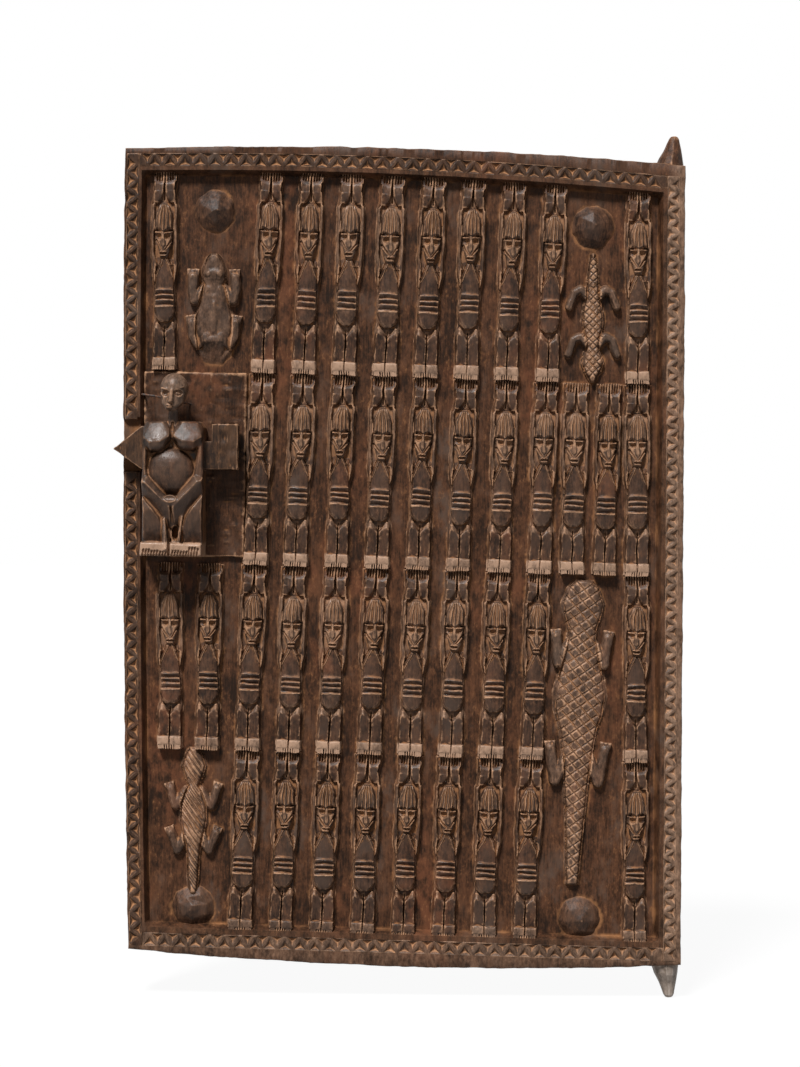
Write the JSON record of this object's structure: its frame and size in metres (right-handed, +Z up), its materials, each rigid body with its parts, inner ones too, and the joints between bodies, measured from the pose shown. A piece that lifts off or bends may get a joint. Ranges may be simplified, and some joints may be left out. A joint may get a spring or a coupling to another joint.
{
  "type": "granary door",
  "caption": "Carved wooden granary door on its own tapered pivots, with raised figures and animals inside a zigzag border and a sliding bolt in a figure-shaped wooden lock.",
  "frame": {"origin": "tip of the lower pivot, on the line the leaf turns on", "axes": "+Z up along the turning line, carved face towards -Y, hinge edge at +X, free edge with the lock at -X"},
  "size_m": [0.5685, 0.077, 0.867],
  "materials": {
    "leaf_wood": "hand-carved, aged dark brown with ochre dust in the cuts",
    "lock_wood": "smooth from handling, dark grey-brown sheen",
    "bolt_wood": "rough hewn, dry",
    "pin_wood": "whittled, bare",
    "forged_iron": "forged, brown rust"
  },
  "bodies": {
    "leaf": {"door_leaf": "leaf_wood", "lock_case": "lock_wood", "neck_staple": "forged_iron", "lower_nails": "forged_iron"},
    "bolt": {"bolt": "bolt_wood"},
    "drop_pin_left": {"drop_pin_left": "pin_wood"},
    "drop_pin_right": {"drop_pin_right": "pin_wood"}
  },
  "joints": [
    {"name": "bolt_slide", "type": "slide", "parent": "leaf", "child": "bolt", "axis": [-1, 0, 0], "range_m": [-0.014, 0.006]},
    {"name": "left_pin_lift", "type": "slide", "parent": "leaf", "child": "drop_pin_left", "axis": [0, 0, 1], "range_m": [0, 0.004]},
    {"name": "right_pin_lift", "type": "slide", "parent": "leaf", "child": "drop_pin_right", "axis": [0, 0, 1], "range_m": [0, 0.004]}
  ]
}
